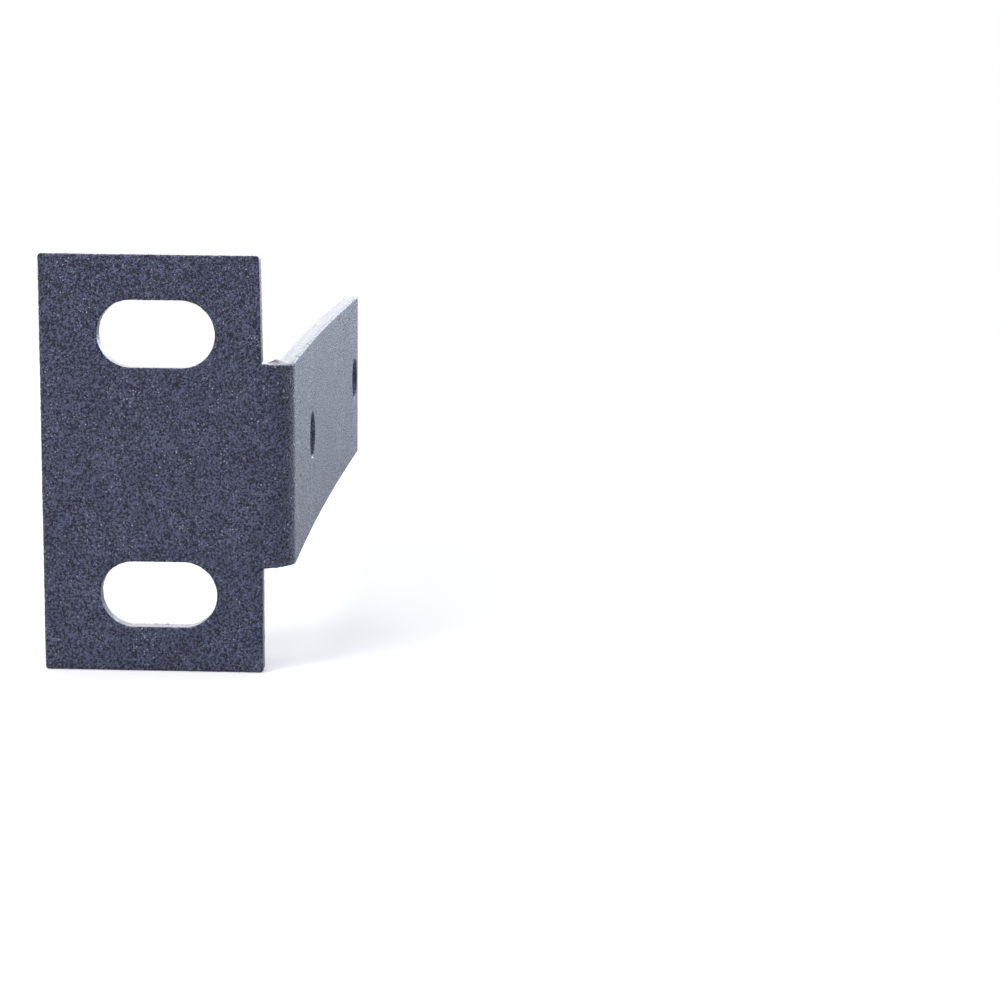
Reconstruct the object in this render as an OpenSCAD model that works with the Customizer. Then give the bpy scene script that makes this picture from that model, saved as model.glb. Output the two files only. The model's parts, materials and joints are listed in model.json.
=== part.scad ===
// Rack mount ear, left hand: one folded and punched steel sheet. The upright face
// plate is bolted to the front of a rack, and a lower flange runs back from its
// inner edge along the side of the chassis that it carries.
//
// Lengths are in millimetres. The face plate stands in the XZ plane and looks
// towards -Y, +Z is up, and the flange runs back along +Y. The origin is midway
// between the two slots, on the back of the face plate.

/* [Sheet] */
// Thickness of the sheet, with its coat
sheet_t = 2.0; // [1.5:0.1:2.5]
// Inside radius of the fold
fold_r = 1.0; // [0.6:0.1:2]
// Radius of the rolled edge that the punch leaves on the outer side of the sheet
edge_r = 0.2; // [0.1:0.05:0.4]

/* [Face plate] */
// Height of the face plate
plate_h = 50.8; // [46:0.1:60]
// Width of the face plate, from its free edge to the edge beside the fold
plate_w = 26.7; // [25:0.1:32]
// Radius of the face plate's corners
corner_r = 0.4; // [0.3:0.05:2]

/* [Rack slots] */
// Distance between the centres of the two slots
slot_pitch = 31.75; // [30:0.05:34]
// Length of a slot, end to end
slot_l = 14.1; // [12:0.1:16]
// Width of a slot
slot_w = 8.0; // [6:0.1:9]
// Distance from the face plate's free edge to the middle of the slots
slot_inset = 14.0; // [12:0.1:15]

/* [Side flange] */
// Height of the flange, from edge to edge
flange_h = 25; // [18:0.5:30]
// Distance from the front of the face plate to the far end of the flange
flange_depth = 86; // [86:0.5:100]
// Width of the flat band between the face plate's inner edge and the fold
band_w = 0.65; // [0.2:0.05:3]

/* [Chassis holes] */
// Diameter of the two holes through the flange
hole_d = 6.0; // [4:0.1:8]
// Distance from the front of the face plate to the nearer hole
hole_setback = 25.4; // [12:0.1:25.5]
// Distance between the two holes
hole_spacing = 56.0; // [30:0.1:56.2]

/* [Nick] */
// Height of the nick in the free edge, from the middle of the plate
nick_z = -5.4; // [-20:0.1:20]
// Depth of the nick
nick_depth = 0.15; // [0.05:0.05:0.3]

/* [Hidden] */
$fn = 72;

// How far a cutter reaches past the face that it starts from
clear = 0.5;
// How far the folded strip laps into the face plate
lap = 1;
// Radius of the round-nosed blow that left the nick
nick_r = 0.4;

// Edges of the face plate, free and inner
free_x = -slot_inset;
inner_x = plate_w - slot_inset;
// The fold's outer radius and its axis
fold_outer = fold_r + sheet_t;
fold_x = inner_x + band_w;
fold_y = fold_r;
// The outside of the flange, and its far end
outside_x = fold_x + fold_outer;
end_y = flange_depth - sheet_t;

// What a rolled edge takes off the corner of a sheet. The corner is at the origin
// and the sheet lies below it and to its left.
module edge_loss() {
    translate([-edge_r, -edge_r]) difference() {
        square(edge_r + clear);
        circle(edge_r, $fn = 24);
    }
}

// A round hole through a flat sheet whose outer side is up, with its rim rolled
module punched_hole(r) {
    translate([0, 0, -clear]) cylinder(r = r, h = sheet_t + 2 * clear);
    rotate_extrude() translate([r, sheet_t]) mirror([1, 0]) edge_loss();
}

// A slot of the same kind, lying along X: two round ends and the run between them
module punched_slot(l, w) {
    run = l - w;
    for (side = [-1, 1])
        translate([side * run / 2, 0, 0]) punched_hole(w / 2);
    rotate([90, 0, 90]) linear_extrude(run, center = true) {
        translate([-w / 2, -clear]) square([w, sheet_t + 2 * clear]);
        translate([w / 2, sheet_t]) mirror([1, 0]) edge_loss();
        translate([-w / 2, sheet_t]) edge_loss();
    }
}

// The section of a flat strip of this width, with both upper corners rolled
module strip_section(w) {
    difference() {
        translate([-w / 2, 0]) square([w, sheet_t]);
        translate([w / 2, sheet_t]) edge_loss();
        translate([-w / 2, sheet_t]) mirror([1, 0]) edge_loss();
    }
}

// The outline of the face plate, centred, with its corners rounded
module plate_outline() {
    flat_w = plate_w - 2 * corner_r;
    flat_h = plate_h - 2 * corner_r;
    square([flat_w, plate_h], center = true);
    square([plate_w, flat_h], center = true);
    for (x = [-1, 1], y = [-1, 1])
        translate([x * flat_w / 2, y * flat_h / 2]) circle(corner_r);
}

// The face plate lying on its back, its front up and the slots' middle at the origin
module flat_plate() {
    difference() {
        translate([plate_w / 2 - slot_inset, 0, 0]) intersection() {
            linear_extrude(sheet_t) plate_outline();
            rotate([90, 0, 0]) linear_extrude(plate_h, center = true) strip_section(plate_w);
            rotate([90, 0, 90]) linear_extrude(plate_w, center = true) strip_section(plate_h);
        }
        for (side = [-1, 1])
            translate([0, side * slot_pitch / 2, 0]) punched_slot(slot_l, slot_w);
        translate([free_x + nick_depth - nick_r, nick_z, -clear])
            cylinder(r = nick_r, h = sheet_t + 2 * clear);
    }
}

// The strip seen from above: from the face plate, round the fold, to the far end
module strip_plan() {
    translate([inner_x - lap, -sheet_t]) square([lap + band_w, sheet_t]);
    translate([fold_x, fold_y]) intersection() {
        difference() {
            circle(fold_outer);
            circle(fold_r);
        }
        translate([0, -fold_outer]) square(fold_outer);
    }
    difference() {
        translate([outside_x - sheet_t, fold_y]) square([sheet_t, end_y - fold_y]);
        translate([outside_x, end_y]) edge_loss();
    }
}

// What the rolled edge takes off the outer side of the strip, all along its top
module strip_edge_loss() {
    translate([inner_x, -sheet_t, 0])
        rotate([90, 0, 90]) linear_extrude(band_w) mirror([1, 0]) edge_loss();
    translate([fold_x, fold_y, 0])
        rotate([0, 0, -90]) rotate_extrude(angle = 90) translate([fold_outer, 0]) edge_loss();
    translate([outside_x, end_y + clear, 0])
        rotate([90, 0, 0]) linear_extrude(end_y + clear - fold_y) edge_loss();
}

// The folded strip: the narrow band beside the face plate, the fold and the flange
module folded_strip() {
    difference() {
        linear_extrude(flange_h, center = true) strip_plan();
        for (side = [0, 1])
            mirror([0, 0, side]) translate([0, 0, flange_h / 2]) strip_edge_loss();
        for (back = [0, hole_spacing])
            translate([outside_x - sheet_t, hole_setback - sheet_t + back, 0])
                rotate([0, 90, 0]) punched_hole(hole_d / 2);
    }
}

// The whole ear, in charcoal textured coat
module rack_ear() {
    color([0.28, 0.28, 0.37]) {
        rotate([90, 0, 0]) flat_plate();
        folded_strip();
    }
}

rack_ear();
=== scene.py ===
import json
import math

import bmesh
import bpy
from mathutils import Matrix, Vector, noise
from mathutils.geometry import delaunay_2d_cdt


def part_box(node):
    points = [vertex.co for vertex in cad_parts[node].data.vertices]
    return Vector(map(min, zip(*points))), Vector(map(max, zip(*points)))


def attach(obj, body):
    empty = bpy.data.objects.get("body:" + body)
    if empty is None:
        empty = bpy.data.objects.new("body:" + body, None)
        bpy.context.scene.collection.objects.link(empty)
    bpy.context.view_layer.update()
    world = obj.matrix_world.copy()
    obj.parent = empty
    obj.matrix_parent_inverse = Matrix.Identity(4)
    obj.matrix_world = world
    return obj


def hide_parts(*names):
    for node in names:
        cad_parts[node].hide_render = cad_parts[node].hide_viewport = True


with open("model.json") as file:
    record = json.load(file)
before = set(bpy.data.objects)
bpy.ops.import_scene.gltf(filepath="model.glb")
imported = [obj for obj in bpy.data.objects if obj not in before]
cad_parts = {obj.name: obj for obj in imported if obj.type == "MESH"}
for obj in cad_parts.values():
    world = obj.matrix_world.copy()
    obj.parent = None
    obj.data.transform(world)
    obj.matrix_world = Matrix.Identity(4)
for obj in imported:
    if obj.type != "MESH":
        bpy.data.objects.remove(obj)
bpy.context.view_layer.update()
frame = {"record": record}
print("frame loaded")

mm = 0.001
earLow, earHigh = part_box("rack_ear")
mounts = {mount["name"]: mount for mount in frame["record"]["mounts"]}
rackSlots = mounts["rack_slots"]["dims"]
chassisHoles = mounts["chassis_holes"]["dims"]

# The sheet that the ear is folded from, in metres
sheet = {
    "thick": 2.0 * mm,            # with its coat
    "foldInside": 1.0 * mm,       # inside radius of the fold
    "rolled": 0.26 * mm,          # the round that the punch leaves on the outer side
    "rolledSteps": 4,
    "rolledCut": 0.8,             # how much the round belongs to the cut
    "rearRound": 0.08 * mm,       # the sharper edge on the rear
    "breakAt": 0.7 * mm,          # where the punched wall stops being smooth
    "breakLong": 0.25 * mm,
    "breakDepth": 0.02 * mm,
    "lowerWall": 1.45 * mm,       # a ring that keeps the wall's faces even
    "plateInner": 12.7 * mm,      # the face plate's edge beside the fold
    "band": 0.65 * mm,            # flat strip between that edge and the fold
    "corner": 0.4 * mm,
    "topCornerLean": 0.26 * mm,   # how far the fold has drawn in the corner above it
    "innerFilletTop": 0.12 * mm,
    "innerFilletLow": 0.35 * mm,
    "flangeHigh": 25.0 * mm,
    "endCorner": 0.3 * mm,
    "slotWide": 2 * rackSlots["hole_r_mm"] * mm,
    "slotLong": rackSlots["slot_length_mm"] * mm,
    "slotPitch": rackSlots["spacing_y_mm"] * mm,
    "holeRadius": chassisHoles["hole_r_mm"] * mm,
    "holePitch": chassisHoles["spacing_x_mm"] * mm,
    "holeMiddle": mounts["chassis_holes"]["pos_m"][1],
    "edgeStep": 0.17 * mm,        # mesh size along the edges
    "faceStep": 0.45 * mm,        # and on the flats
    "foldStep": 0.2 * mm,
}

# How the real sheet departs from the drawn one
shopMarks = {
    "bow": 0.50 * mm,             # the flange's hollow, half way back
    "bowLean": -0.10,
    "drawIn": 0.20 * mm,          # the outside of the fold shortens at its two ends
    "swellOut": 0.42 * mm,        # and its inside swells
    "drawReach": 1.6 * mm,
    "lump": 0.02 * mm,            # waviness of the coat
    "edgeLump": 0.05 * mm,        # and what it adds along the edges
    "lumpSize": 0.4 * mm,
    "swell": 0.03 * mm,
    "swellSize": 6.0 * mm,
    "seed": 11.0,
}

# Places in the flat blank: u runs along it, v up it, deep is from its outer side
# each chip is bitten in and painted near-black by its dark: partly dark coat crumbs and burrs, partly
# painted shade inside the nick
chips = [
    # in the free edge
    {"u": -14.0 * mm, "v": -5.4 * mm, "deep": 1.0 * mm,
     "reach": 0.42 * mm, "bite": 0.15 * mm, "dark": 0.5},
    # the dark nick above the fold
    {"u": 13.75 * mm, "v": 12.5 * mm, "deep": 2.0 * mm,
     "reach": 0.42 * mm, "bite": 0.2 * mm, "dark": 1.0},
    # two burrs on the lower slot's floor
    {"u": -0.6 * mm, "v": -19.9 * mm, "deep": 2.0 * mm,
     "reach": 0.35 * mm, "bite": -0.05 * mm, "dark": 0.9},
    {"u": 0.7 * mm, "v": -19.9 * mm, "deep": 2.0 * mm,
     "reach": 0.3 * mm, "bite": -0.05 * mm, "dark": 0.9},
    # in the upper slot's left end
    {"u": -7.05 * mm, "v": 15.6 * mm, "deep": 0.6 * mm,
     "reach": 0.35 * mm, "bite": 0.07 * mm, "dark": 0.4},
    # along the flange's top edge
    {"u": 22.2 * mm, "v": 12.4 * mm, "deep": 0.1 * mm,
     "reach": 0.45 * mm, "bite": 0.08 * mm, "dark": 0.8},
    {"u": 35.0 * mm, "v": 12.4 * mm, "deep": 0.1 * mm,
     "reach": 0.40 * mm, "bite": 0.06 * mm, "dark": 0.8},
]

slotRun = sheet["slotLong"] - sheet["slotWide"]
flangeHalf = sheet["flangeHigh"] / 2
plateHalf = earHigh.z
freeEdge = earLow.x
foldStart = sheet["plateInner"] + sheet["band"]
foldOuter = sheet["foldInside"] + sheet["thick"]
foldNeutral = sheet["foldInside"] + sheet["thick"] / 2
foldLength = foldNeutral * math.pi / 2
foldEnd = foldStart + foldLength
foldAxisY = sheet["foldInside"]
blankEnd = foldEnd + earHigh.y - foldAxisY
outside = earHigh.x


def alongFlange(y):
    return foldEnd + y - foldAxisY


# An outline through rounded corners, with the sheet on its left. Each point comes
# with the way that leads out of the sheet.
def roundedOutline(corners, step):
    points = []
    count = len(corners)
    starts, ends, arcs = [], [], []
    for i, (u, v, radius) in enumerate(corners):
        here = Vector((u, v))
        before = (here - Vector(corners[i - 1][:2])).normalized()
        after = (Vector(corners[(i + 1) % count][:2]) - here).normalized()
        turn = math.atan2(before.x * after.y - before.y * after.x, before.dot(after))
        cut = radius * math.tan(abs(turn) / 2)
        starts.append(here - before * cut)
        ends.append(here + after * cut)
        arcs.append((radius, before, turn))
    for i in range(count):
        radius, before, turn = arcs[i]
        side = 1 if turn > 0 else -1
        out = Vector((before.y, -before.x))
        centre = starts[i] - out * radius * side
        pieces = max(3, math.ceil(radius * abs(turn) / step))
        for k in range(pieces + 1):
            normal = out.copy()
            normal.rotate(Matrix.Rotation(turn * k / pieces, 2))
            points.append((centre + normal * radius * side, normal))
        start, end = ends[i], starts[(i + 1) % count]
        pieces = max(1, round((end - start).length / step))
        along = (end - start).normalized()
        normal = Vector((along.y, -along.x))
        for k in range(1, pieces):
            points.append((start.lerp(end, k / pieces), normal))
    return points


# A slot or, with no run, a round hole
def openingOutline(u, v, run, radius, step):
    points = []
    pieces = math.ceil(math.pi * radius / step)
    for side in (1, -1):
        for k in range(pieces + 1):
            if run == 0 and k == pieces:
                continue
            angle = math.radians(90) * side - math.pi * k / pieces
            away = Vector((math.cos(angle), math.sin(angle)))
            points.append((Vector((u + side * run / 2, v)) + away * radius, -away))
        if run > 0:
            straight = round(run / step)
            for k in range(1, straight):
                u1 = u + side * (run / 2 - run * k / straight)
                points.append((Vector((u1, v - side * radius)), Vector((0, side))))
    return points


def blankOutlines():
    step = sheet["edgeStep"]
    inner, corner = sheet["plateInner"], sheet["corner"]
    outlines = [roundedOutline([
        (freeEdge, -plateHalf, corner),
        (inner, -plateHalf, corner),
        (inner, -flangeHalf, sheet["innerFilletLow"]),
        (blankEnd, -flangeHalf, sheet["endCorner"]),
        (blankEnd, flangeHalf, sheet["endCorner"]),
        (inner, flangeHalf, sheet["innerFilletTop"]),
        (inner, plateHalf, corner),
        (freeEdge, plateHalf, corner),
    ], step)]
    for side in (1, -1):
        outlines.append(openingOutline(
            0, side * sheet["slotPitch"] / 2, slotRun, sheet["slotWide"] / 2, step))
    for side in (-1, 1):
        middle = alongFlange(sheet["holeMiddle"] + side * sheet["holePitch"] / 2)
        outlines.append(openingOutline(middle, 0, 0, sheet["holeRadius"], step))
    return outlines


# How far inside the sheet's edges a point of the blank lies
def room(u, v):
    plate = min(u - freeEdge, sheet["plateInner"] - u, plateHalf - abs(v))
    strip = min(u - sheet["plateInner"] + 5 * mm, blankEnd - u, flangeHalf - abs(v))
    inside = max(plate, strip)
    for side in (1, -1):
        du = max(abs(u) - slotRun / 2, 0)
        dv = v - side * sheet["slotPitch"] / 2
        inside = min(inside, math.hypot(du, dv) - sheet["slotWide"] / 2)
        middle = alongFlange(sheet["holeMiddle"] + side * sheet["holePitch"] / 2)
        inside = min(inside, math.hypot(u - middle, v) - sheet["holeRadius"])
    return inside


# Points that fill the flats, in columns that stand closer round the fold
def fillPoints():
    margin = sheet["rolled"] + 0.6 * sheet["edgeStep"]
    points = []
    u = freeEdge + sheet["faceStep"]
    odd = False
    while u < blankEnd:
        nearFold = foldStart - 0.3 * mm < u < foldEnd + 0.3 * mm
        top = plateHalf if u < sheet["plateInner"] else flangeHalf
        rows = round(2 * top / sheet["faceStep"])
        for k in range(rows + 1):
            v = -top + 2 * top * (k + (0.5 if odd else 0)) / rows
            if room(u, v) > margin:
                points.append(Vector((u, v)))
        u += sheet["foldStep"] if nearFold else sheet["faceStep"] * 0.9
        odd = not odd
    return points


# How the sheet is cut through: how far each ring stands in from the outline, how deep
# it lies from the outer side, and how much it belongs to the cut
def wallProfile():
    rings = []
    for k in range(sheet["rolledSteps"] + 1):
        angle = math.radians(90) * k / sheet["rolledSteps"]
        rings.append((sheet["rolled"] * (1 - math.sin(angle)),
                      sheet["rolled"] * (1 - math.cos(angle)),
                      sheet["rolledCut"] * k / sheet["rolledSteps"]))
    rings.append((0, sheet["breakAt"], 1))
    rings.append((sheet["breakDepth"], sheet["breakAt"] + sheet["breakLong"], 1))
    rings.append((sheet["breakDepth"], sheet["lowerWall"], 1))
    rear = sheet["rearRound"]
    rings.append((sheet["breakDepth"], sheet["thick"] - rear, 1))
    rings.append((sheet["breakDepth"] + 0.3 * rear, sheet["thick"] - 0.3 * rear, 0.5))
    rings.append((sheet["breakDepth"] + rear, sheet["thick"], 0))
    return rings


# From the flat blank to the folded ear
def foldUp(u, v, deep):
    turn = min(max((u - foldStart) / foldLength, 0), 1)
    angle = turn * math.pi / 2
    reach = foldOuter - deep
    x = min(u, foldStart) + reach * math.sin(angle)
    y = foldAxisY - reach * math.cos(angle) + max(u - foldEnd, 0)
    z = v
    # the outside of the fold shortens at its two ends and the inside swells
    edge = max(0, 1 - (flangeHalf - abs(v)) / shopMarks["drawReach"])
    if turn > 0 or u > sheet["plateInner"] + 0.3 * mm:
        pull = math.sin(math.pi * min(max((u - foldStart + 0.5 * mm) / (foldLength + 1.0 * mm), 0), 1))
        outer = 1 - 2 * deep / sheet["thick"]
        move = shopMarks["drawIn"] if outer > 0 else shopMarks["swellOut"]
        z -= move * pull * outer * edge * edge * (1 if v > 0 else -1)
    # the corner above the fold leans in
    if v > flangeHalf and u < foldStart:
        lean = (v - flangeHalf) / (plateHalf - flangeHalf)
        near = min(max((u - freeEdge) / (sheet["plateInner"] - freeEdge), 0), 1)
        x -= sheet["topCornerLean"] * lean * near ** 4
    # the flange is a little hollow
    if turn >= 1:
        s = (y - foldAxisY) / (earHigh.y - foldAxisY)
        x -= shopMarks["bow"] * 4 * s * (1 - s) * (1 + 2.6 * shopMarks["bowLean"] * (s - 0.5))
    return Vector((x, y, z))


def makeEar():
    outlines = blankOutlines()
    profile = wallProfile()
    inset = profile[0][0]
    flatPoints, ringEdges, loops = [], [], []
    for outline in outlines:
        first = len(flatPoints)
        count = len(outline)
        flatPoints += [point - normal * inset for point, normal in outline]
        loops.append((first, count))
        ringEdges += [(first + i, first + (i + 1) % count) for i in range(count)]
    ringCount = len(flatPoints)
    flatPoints += fillPoints()

    verts, edges, faces, origVerts, _, _ = delaunay_2d_cdt(flatPoints, ringEdges, [], 0, 1e-8)
    index = [orig[0] for orig in origVerts]
    print("blank triangulated:", len(flatPoints), "points", len(verts), len(faces))

    # keep the triangles that can be reached from inside without crossing an edge
    walls = {frozenset(edge) for edge in ringEdges}
    triangles = [tuple(index[k] for k in face) for face in faces]
    sharing = {}
    for t, tri in enumerate(triangles):
        for k in range(3):
            sharing.setdefault(frozenset((tri[k], tri[(k + 1) % 3])), []).append(t)
    start = next(t for t, tri in enumerate(triangles) if all(k >= ringCount for k in tri))
    kept, waiting = {start}, [start]
    while waiting:
        tri = triangles[waiting.pop()]
        for k in range(3):
            edge = frozenset((tri[k], tri[(k + 1) % 3]))
            if edge in walls:
                continue
            for other in sharing[edge]:
                if other not in kept:
                    kept.add(other)
                    waiting.append(other)

    bm = bmesh.new()
    chipLayer = bm.verts.layers.float.new("chip")
    cutLayer = bm.verts.layers.float.new("cut")

    def place(flat, deep, cut=0):
        vert = bm.verts.new(foldUp(flat.x, flat.y, deep))
        vert[cutLayer] = cut
        # how dark each chip is painted: dark coat crumbs, and painted shade inside the nick
        for chip in chips:
            away = math.dist((flat.x, flat.y, deep), (chip["u"], chip["v"], chip["deep"]))
            if away < chip["reach"]:
                vert[chipLayer] = max(vert[chipLayer], chip["dark"] * (1 - (away / chip["reach"]) ** 2))
        return vert

    rings = []                     # rings[loop][depth][point]
    for outline in outlines:
        rings.append([[place(point - normal * inwards, deep, cut) for point, normal in outline]
                      for inwards, deep, cut in profile])
    front, rear = {}, {}
    for (first, count), ring in zip(loops, rings):
        for i in range(count):
            front[first + i], rear[first + i] = ring[0][i], ring[-1][i]
    for i in range(ringCount, len(flatPoints)):
        front[i], rear[i] = place(flatPoints[i], 0), place(flatPoints[i], sheet["thick"])
    for t in kept:
        a, b, c = triangles[t]
        bm.faces.new((front[a], front[b], front[c]))
        bm.faces.new((rear[c], rear[b], rear[a]))
    for (first, count), ring in zip(loops, rings):
        for upper, lower in zip(ring, ring[1:]):
            for i in range(count):
                j = (i + 1) % count
                bm.faces.new((upper[i], lower[i], lower[j], upper[j]))
    print("ear folded up:", len(bm.verts), "points,", len(bm.faces), "faces")

    # waves and lumps of the coat, only ever inwards
    bm.normal_update()
    moves = []
    for vert in bm.verts:
        at = vert.co
        shift = Vector((shopMarks["seed"], 0, 0))
        lump = noise.noise(at / shopMarks["lumpSize"] + shift)
        fine = noise.noise(at / (0.4 * shopMarks["lumpSize"]) + shift)
        swell = noise.noise(at / shopMarks["swellSize"] + shift)
        high = shopMarks["lump"] + shopMarks["edgeLump"] * min(1, 2 * vert[cutLayer])
        drop = high * (0.4 - 0.4 * lump - 0.4 * fine) + shopMarks["swell"] * (0.5 - 0.5 * swell)
        moves.append(vert.co - vert.normal * max(drop, 0))
    for vert, moved in zip(bm.verts, moves):
        vert.co = moved
    for chip in chips:
        middle = foldUp(chip["u"], chip["v"], chip["deep"])
        for vert in bm.verts:
            away = (vert.co - middle).length
            if away < chip["reach"]:
                vert.co -= vert.normal * chip["bite"] * (1 - (away / chip["reach"]) ** 2)

    mesh = bpy.data.meshes.new("foldedEar")
    bm.to_mesh(mesh)
    bm.free()
    mesh.shade_smooth()
    ear = bpy.data.objects.new("foldedEar", mesh)
    bpy.context.collection.objects.link(ear)
    return ear


# Charcoal powder coat with a fine sand texture
coat = {
    "dark": (0.006, 0.008, 0.028),
    "light": (0.165, 0.188, 0.330),
    # painted highlights: bright specks painted into the coat's colour stand in for glints off the sand
    # grains
    "paintedGlint": (0.46, 0.49, 0.62),
    # near-black of the chips: partly dark coat crumbs, partly painted shade inside the nicks
    "crumbAndShadeDark": (0.006, 0.006, 0.008),
    "grain": 0.22 * mm,
    "grainHigh": 0.12 * mm,
    "paintedGlintApart": 0.34 * mm,
    "paintedGlintPatch": 2.6 * mm,       # the painted glints crowd together in patches
    "paintedGlintCrowd": (0.88, 0.30),   # share of cells left without a painted glint, outside a patch and in it
    "paintedGlintRadius": (0.34, 0.08),  # in cells, from the rim to the full colour
    "mottle": 3.5 * mm,
    "mottleMost": 0.35,
    "drawnOut": 0.62,             # the grain runs a little along the flange
    "roughLow": 0.16,
    "roughHigh": 0.70,
    "cutRough": 0.30,             # the coat runs smooth over the cut edges
    "cutGrain": 0.25,
}


def newMaterial(name):
    material = bpy.data.materials.new(name)
    material.use_nodes = True
    tree = material.node_tree
    tree.nodes.clear()
    return material, tree


def addNode(tree, kind, inputs=None, **settings):
    node = tree.nodes.new(kind)
    for key, value in settings.items():
        setattr(node, key, value)
    for key, value in (inputs or {}).items():
        if isinstance(value, bpy.types.NodeSocket):
            tree.links.new(value, node.inputs[key])
        else:
            node.inputs[key].default_value = value
    return node


def remap(tree, value, low, high, toLow=0.0, toHigh=1.0):
    return addNode(tree, "ShaderNodeMapRange", {
        "Value": value, "From Min": low, "From Max": high, "To Min": toLow, "To Max": toHigh,
    }).outputs["Result"]


def mixColour(tree, factor, a, b):
    node = addNode(tree, "ShaderNodeMix", data_type="RGBA")
    for key, value in ((0, factor), (6, a), (7, b)):
        if isinstance(value, bpy.types.NodeSocket):
            tree.links.new(value, node.inputs[key])
        else:
            node.inputs[key].default_value = value if key == 0 else (*value, 1)
    return node.outputs[2]


def mixValue(tree, factor, a, b):
    node = addNode(tree, "ShaderNodeMix", data_type="FLOAT")
    for key, value in ((0, factor), (2, a), (3, b)):
        if isinstance(value, bpy.types.NodeSocket):
            tree.links.new(value, node.inputs[key])
        else:
            node.inputs[key].default_value = value
    return node.outputs[0]


def combine(tree, a, b, how="MULTIPLY"):
    return addNode(tree, "ShaderNodeMath", {0: a, 1: b}, operation=how).outputs[0]


def powderCoat():
    material, tree = newMaterial("powderCoat")
    where = addNode(tree, "ShaderNodeMapping", {
        "Vector": addNode(tree, "ShaderNodeTexCoord").outputs["Object"],
        "Scale": (1, coat["drawnOut"], 1)}).outputs[0]
    grain = addNode(tree, "ShaderNodeTexNoise", {
        "Vector": where, "Scale": 1 / coat["grain"], "Detail": 1.5, "Roughness": 0.55})
    sand = addNode(tree, "ShaderNodeTexVoronoi", {
        "Vector": where, "Scale": 1.1 / coat["grain"], "Smoothness": 0.6}, feature="SMOOTH_F1")
    mottle = addNode(tree, "ShaderNodeTexNoise", {
        "Vector": where, "Scale": 1 / coat["mottle"], "Detail": 3.0, "Roughness": 0.6})
    # painted glints: bright specks in patchy clusters, painted into the base colour as highlights
    cells = addNode(tree, "ShaderNodeTexVoronoi", {
        "Vector": where, "Scale": 1 / coat["paintedGlintApart"], "Randomness": 1.0})
    chosen = addNode(tree, "ShaderNodeSeparateColor", {"Color": cells.outputs["Color"]})
    patch = addNode(tree, "ShaderNodeTexNoise", {
        "Vector": where, "Scale": 1 / coat["paintedGlintPatch"], "Detail": 2.0, "Roughness": 0.6})
    crowd = remap(tree, patch.outputs["Fac"], 0.35, 0.68, *coat["paintedGlintCrowd"])
    lack = combine(tree, chosen.outputs["Red"], crowd, "SUBTRACT")
    pick = remap(tree, lack, 0.0, 0.5)
    spot = remap(tree, cells.outputs["Distance"], *coat["paintedGlintRadius"])
    paintedGlint = combine(tree, pick, spot)
    chip = addNode(tree, "ShaderNodeAttribute", attribute_name="chip").outputs["Fac"]
    cut = addNode(tree, "ShaderNodeAttribute", attribute_name="cut").outputs["Fac"]

    tone = remap(tree, grain.outputs["Fac"], 0.40, 0.76)
    base = mixColour(tree, tone, coat["dark"], coat["light"])
    soft = remap(tree, mottle.outputs["Fac"], 0.3, 0.7, 0.0, coat["mottleMost"])
    base = mixColour(tree, soft, base, coat["dark"])
    # the painted glints lighten the base colour
    base = mixColour(tree, paintedGlint, base, coat["paintedGlint"])
    # chips painted near-black: dark coat crumbs and painted shade inside the nicks
    base = mixColour(tree, chip, base, coat["crumbAndShadeDark"])
    rough = remap(tree, grain.outputs["Fac"], 0.3, 0.7, coat["roughHigh"], coat["roughLow"])
    rough = mixValue(tree, paintedGlint, rough, 0.3)
    rough = mixValue(tree, cut, rough, coat["cutRough"])
    rough = mixValue(tree, chip, rough, 0.9)

    height = combine(tree, grain.outputs["Fac"], sand.outputs["Distance"], "SUBTRACT")
    height = combine(tree, height, mixValue(tree, cut, 1.0, coat["cutGrain"]))
    bump = addNode(tree, "ShaderNodeBump", {
        "Height": height, "Distance": coat["grainHigh"], "Strength": 1.0})
    shader = addNode(tree, "ShaderNodeBsdfPrincipled", {
        "Base Color": base, "Roughness": rough, "Normal": bump.outputs["Normal"],
        "IOR": 1.5})
    out = addNode(tree, "ShaderNodeOutputMaterial")
    tree.links.new(shader.outputs["BSDF"], out.inputs["Surface"])
    return material


# Room round the ear
studio = {
    "floor": (0.82, 0.82, 0.83),
    "floorSize": 3.0,
    "floorGlow": 0.3,
    "floorFade": (0.12, 0.45),    # from the ear outwards
    "backdrop": 1.0,              # light that comes from behind the ear
    "room": 0.30,                 # and from the side it looks to
    "lightFrom": (0.1, 0.9),      # how far back the one turns into the other
    "backdropFrom": (0.4, 0.9),
    "backdropAbove": (0.0, 0.15),
    "lamps": {
        "softLeft": {"place": (-0.75, -0.60, 0.65), "aim": (0, 0.02, 0), "size": 0.5,
                     "watts": 4.8, "colour": (1.0, 0.98, 1.0), "reflectionOnly": False},
        "softRight": {"place": (0.45, 0.98, 0.30), "aim": (0.01, 0.04, 0), "size": 0.6,
                      "watts": 5.0, "colour": (0.60, 0.76, 1.0), "reflectionOnly": False},
        "softTop": {"place": (-0.15, -0.25, 0.95), "aim": (0, 0.04, 0), "size": 0.8,
                    "watts": 5.2, "colour": (0.97, 0.98, 1.0), "reflectionOnly": False},
        "softBack": {"place": (0.0, 1.00, 0.36), "aim": (0, 0.04, 0), "size": 1.1,
                     "watts": 6.0, "colour": (0.93, 0.95, 1.0), "reflectionOnly": True},
    },
}


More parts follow.
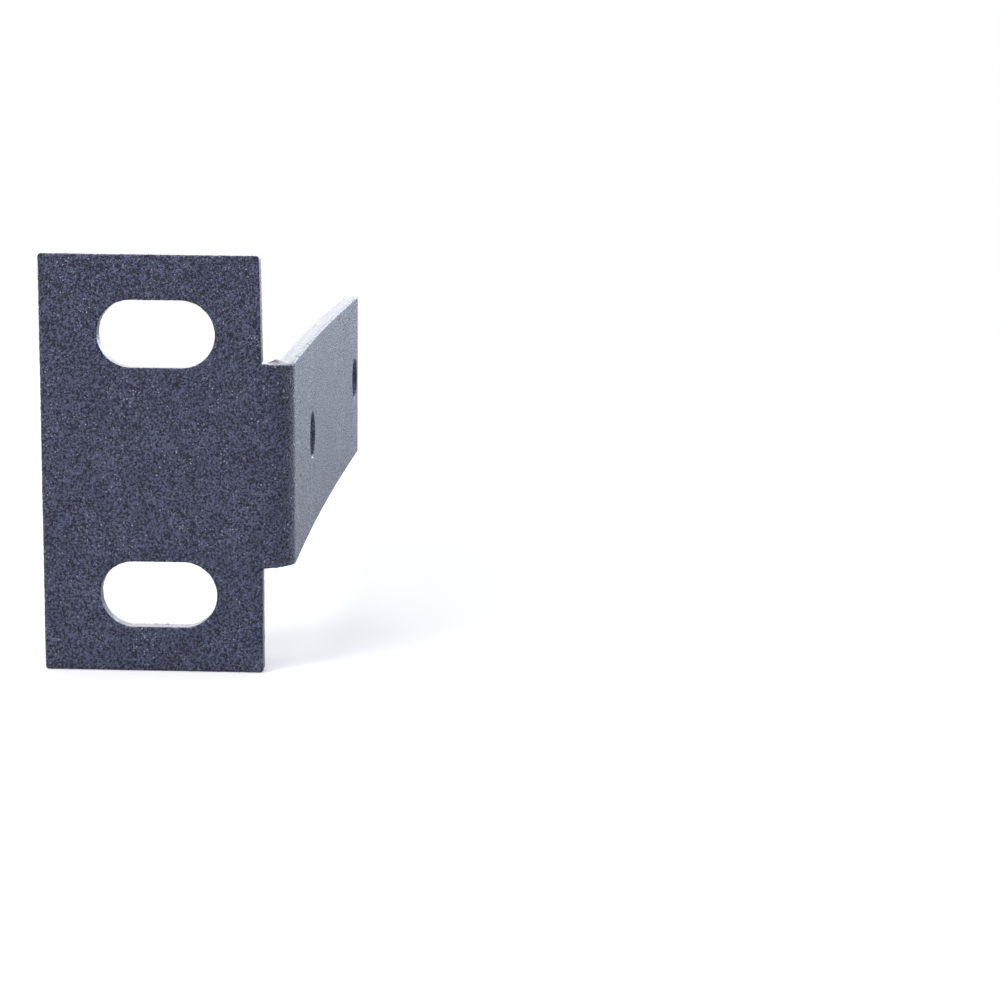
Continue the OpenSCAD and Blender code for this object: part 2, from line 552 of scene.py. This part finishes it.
def makeWorld():
    world = bpy.data.worlds.new("studioWorld")
    bpy.context.scene.world = world
    world.use_nodes = True
    tree = world.node_tree
    tree.nodes.clear()
    way = addNode(tree, "ShaderNodeSeparateXYZ", {
        "Vector": addNode(tree, "ShaderNodeTexCoord").outputs["Generated"]})
    strength = remap(tree, way.outputs["Y"], *studio["lightFrom"], studio["room"], studio["backdrop"])
    light = addNode(tree, "ShaderNodeBackground", {"Color": (1, 1, 1, 1), "Strength": strength})
    white = addNode(tree, "ShaderNodeBackground", {"Color": (1, 1, 1, 1), "Strength": 1.0})
    path = addNode(tree, "ShaderNodeLightPath")
    # reflections find the white backdrop behind the ear and above the floor
    behind = combine(tree, remap(tree, way.outputs["Y"], *studio["backdropFrom"]),
                     remap(tree, way.outputs["Z"], *studio["backdropAbove"]))
    mirrored = combine(tree, path.outputs["Is Glossy Ray"], behind)
    seen = combine(tree, path.outputs["Is Camera Ray"], path.outputs["Is Transmission Ray"], "MAXIMUM")
    seen = combine(tree, seen, mirrored, "MAXIMUM")
    mix = addNode(tree, "ShaderNodeMixShader", {0: seen, 1: light.outputs[0], 2: white.outputs[0]})
    out = addNode(tree, "ShaderNodeOutputWorld")
    tree.links.new(mix.outputs[0], out.inputs["Surface"])


def makeFloor():
    bpy.ops.mesh.primitive_plane_add(size=studio["floorSize"], location=(0, 0, earLow.z))
    floor = bpy.context.object
    floor.name = "paleFloor"
    material, tree = newMaterial("paleFloor")
    where = addNode(tree, "ShaderNodeTexCoord").outputs["Object"]
    away = addNode(tree, "ShaderNodeVectorMath", {0: where}, operation="LENGTH").outputs["Value"]
    fade = remap(tree, away, *studio["floorFade"])
    path = addNode(tree, "ShaderNodeLightPath")
    seen = path.outputs["Is Camera Ray"]
    far = combine(tree, fade, seen)
    glow = combine(tree, seen, studio["floorGlow"])
    paint = addNode(tree, "ShaderNodeBsdfPrincipled", {
        "Base Color": (*studio["floor"], 1), "Roughness": 0.9, "Specular IOR Level": 0.0,
        "Emission Color": (1, 1, 1, 1), "Emission Strength": glow})
    white = addNode(tree, "ShaderNodeEmission", {"Color": (1, 1, 1, 1), "Strength": 1.0})
    mix = addNode(tree, "ShaderNodeMixShader", {0: far, 1: paint.outputs[0], 2: white.outputs[0]})
    out = addNode(tree, "ShaderNodeOutputMaterial")
    tree.links.new(mix.outputs[0], out.inputs["Surface"])
    floor.data.materials.append(material)


def makeLamps():
    for name, made in studio["lamps"].items():
        data = bpy.data.lights.new(name, "AREA")
        data.shape = "DISK"
        data.size = made["size"]
        data.energy = made["watts"]
        data.color = made["colour"]
        lamp = bpy.data.objects.new(name, data)
        lamp.location = made["place"]
        lamp.visible_camera = False
        lamp.visible_diffuse = not made["reflectionOnly"]
        towards = Vector(made["aim"]) - Vector(made["place"])
        lamp.rotation_euler = towards.to_track_quat("-Z", "Y").to_euler()
        bpy.context.collection.objects.link(lamp)


# Where the camera stands, from the slots' middle
camera = {
    "place": (47.267 * mm, -255.402 * mm, 45.146 * mm),
    "lens": 77.48,
    "yaw": 1.387,
    "tilt": -8.546,
    "roll": -0.664,
    "rise": -0.087,
}


def makeCamera():
    data = bpy.data.cameras.new("camera")
    data.lens = camera["lens"]
    data.sensor_width = 36
    data.shift_y = camera["rise"]
    data.clip_start = 0.01
    data.dof.use_dof = False
    eye = bpy.data.objects.new("camera", data)
    eye.location = camera["place"]
    turn = (Matrix.Rotation(math.radians(camera["yaw"]), 4, "Z")
            @ Matrix.Rotation(math.radians(camera["tilt"]), 4, "X")
            @ Matrix.Rotation(math.radians(camera["roll"]), 4, "Y")
            @ Matrix.Rotation(math.radians(90), 4, "X"))
    eye.rotation_euler = turn.to_euler()
    bpy.context.collection.objects.link(eye)
    bpy.context.scene.camera = eye


makeCamera()
makeWorld()
makeLamps()
makeFloor()
print("studio set")

ear = makeEar()
ear.data.materials.append(powderCoat())
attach(ear, "root")
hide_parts("rack_ear")
print("ear coated")

bpy.context.scene.view_settings.view_transform = "Standard"
